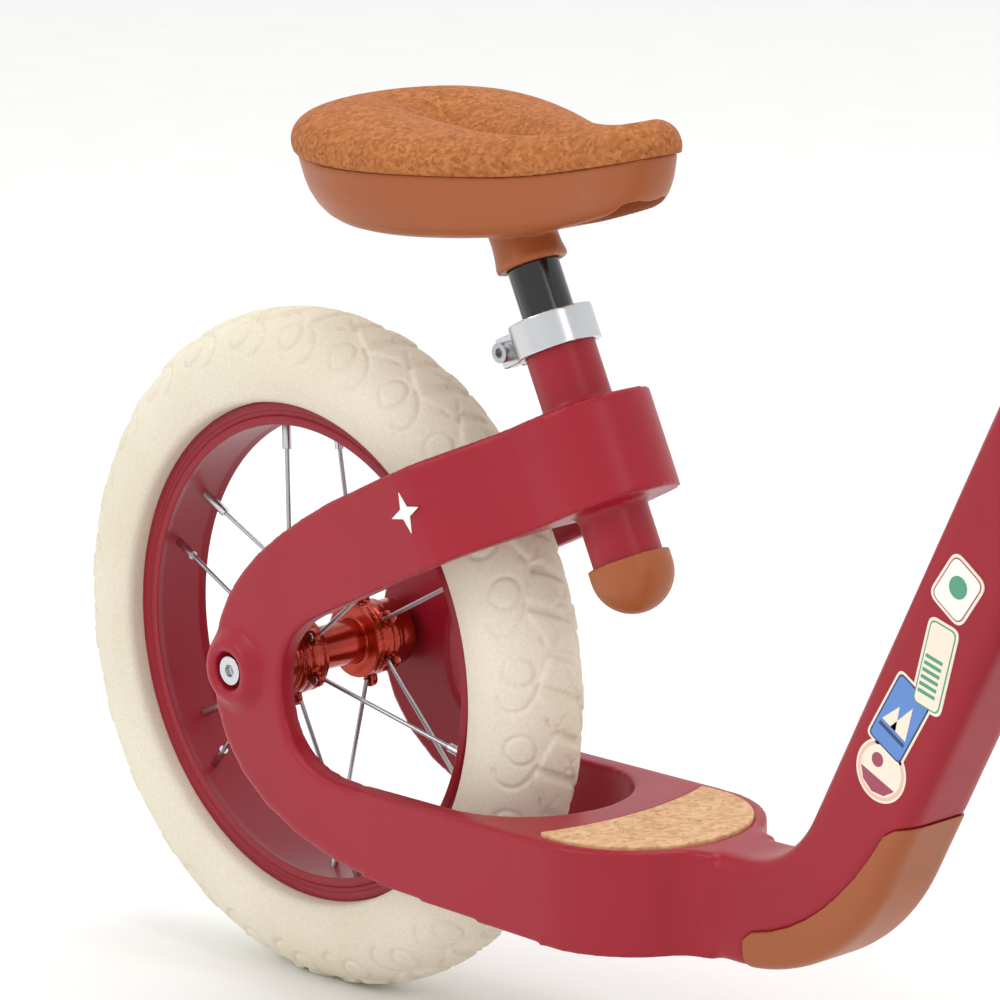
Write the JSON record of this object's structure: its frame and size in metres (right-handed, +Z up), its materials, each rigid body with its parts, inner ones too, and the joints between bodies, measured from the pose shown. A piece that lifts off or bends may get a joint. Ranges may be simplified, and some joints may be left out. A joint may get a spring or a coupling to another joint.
{
  "type": "balance bike",
  "caption": "Child's balance bike: cast frame with looped side bands and footrest, spoked foam-tyred wheels, sliding saddle and handlebar, steering fork.",
  "frame": {"origin": "on the floor, midway between the two wheels, on the bike's centre plane", "axes": "+X forward along the bike, +Y to the rider's left, +Z up"},
  "size_m": [0.872, 0.4074, 0.5677],
  "materials": {
    "red_paint": "satin crimson paint on cast light alloy",
    "red_rim": "satin crimson rim",
    "hub_gloss": "glossy dark red-brown hub shell",
    "foam_tyre": "matt cream foam with a fine moulded grain",
    "brown_plastic": "satin tan-brown moulded plastic",
    "brown_grip": "soft tan-brown rubber",
    "saddle_cork": "speckled rust-brown cork cloth",
    "footrest_cork": "fine-grained natural cork",
    "black_tube": "gloss black paint",
    "black_plastic": "matt black plastic",
    "bright_alloy": "bright turned aluminium",
    "steel": "bright zinc-plated steel",
    "sticker_pink": "cream and pink printed film, wordless",
    "sticker_blue": "blue printed film, wordless",
    "sticker_green": "cream and green printed film, wordless",
    "sticker_cream": "cream printed film, wordless"
  },
  "bodies": {
    "frame": {"frame": "red_paint", "footrest_pad": "footrest_cork", "frame_bumper": "brown_plastic", "seat_tube_cap": "brown_plastic", "seat_clamp": "bright_alloy", "seat_clamp_bolt": "steel", "seat_clamp_nut": "steel", "head_upper_cup": "black_plastic", "head_lower_cup": "black_plastic", "sticker_round": "sticker_pink", "sticker_blue": "sticker_blue", "sticker_green": "sticker_green", "sticker_cream": "sticker_cream", "rear_axle": "steel", "rear_axle_bolts": "bright_alloy", "rear_axle_spacers": "steel", "rear_bearing_inner_rings": "steel"},
    "rear_wheel": {"rear_tyre": "foam_tyre", "rear_rim": "red_rim", "rear_hub": "hub_gloss", "rear_spokes": "steel", "rear_nipples": "bright_alloy", "rear_bearing_outer_rings": "steel", "rear_bearing_balls": "steel"},
    "fork": {"fork": "red_paint", "crown_race": "steel", "upper_cone": "black_plastic", "lower_headset_balls": "steel", "upper_headset_balls": "steel", "steerer_clamp": "bright_alloy", "steerer_clamp_bolt": "steel", "steerer_clamp_nut": "steel", "front_axle": "steel", "front_axle_bolts": "bright_alloy", "front_axle_spacers": "steel", "front_bearing_inner_rings": "steel"},
    "front_wheel": {"front_tyre": "foam_tyre", "front_rim": "red_rim", "front_hub": "hub_gloss", "front_spokes": "steel", "front_nipples": "bright_alloy", "front_bearing_outer_rings": "steel", "front_bearing_balls": "steel"},
    "handlebar": {"handlebar": "black_tube", "left_grip": "brown_grip", "right_grip": "brown_grip"},
    "saddle": {"seat_post": "black_tube", "seat_post_plug": "black_plastic", "saddle_base": "brown_plastic", "saddle_pad": "saddle_cork", "saddle_screws": "steel"}
  },
  "joints": [
    {"name": "rear_wheel_spin", "type": "hinge", "parent": "frame", "child": "rear_wheel", "pos_m": [-0.286, 0, 0.15], "axis": [0, 1, 0], "continuous": true},
    {"name": "steering", "type": "hinge", "parent": "frame", "child": "fork", "pos_m": [0.17493, 0, 0.38208], "axis": [-0.342, 0, 0.9397], "range_deg": [-38, 38]},
    {"name": "front_wheel_spin", "type": "hinge", "parent": "fork", "child": "front_wheel", "pos_m": [0.286, 0, 0.15], "axis": [0, 1, 0], "continuous": true},
    {"name": "handlebar_height", "type": "slide", "parent": "fork", "child": "handlebar", "axis": [-0.342, 0, 0.9397], "range_m": [-0.02, 0.03]},
    {"name": "saddle_height", "type": "slide", "parent": "frame", "child": "saddle", "axis": [-0.4226, 0, 0.9063], "range_m": [-0.02, 0.045]}
  ]
}
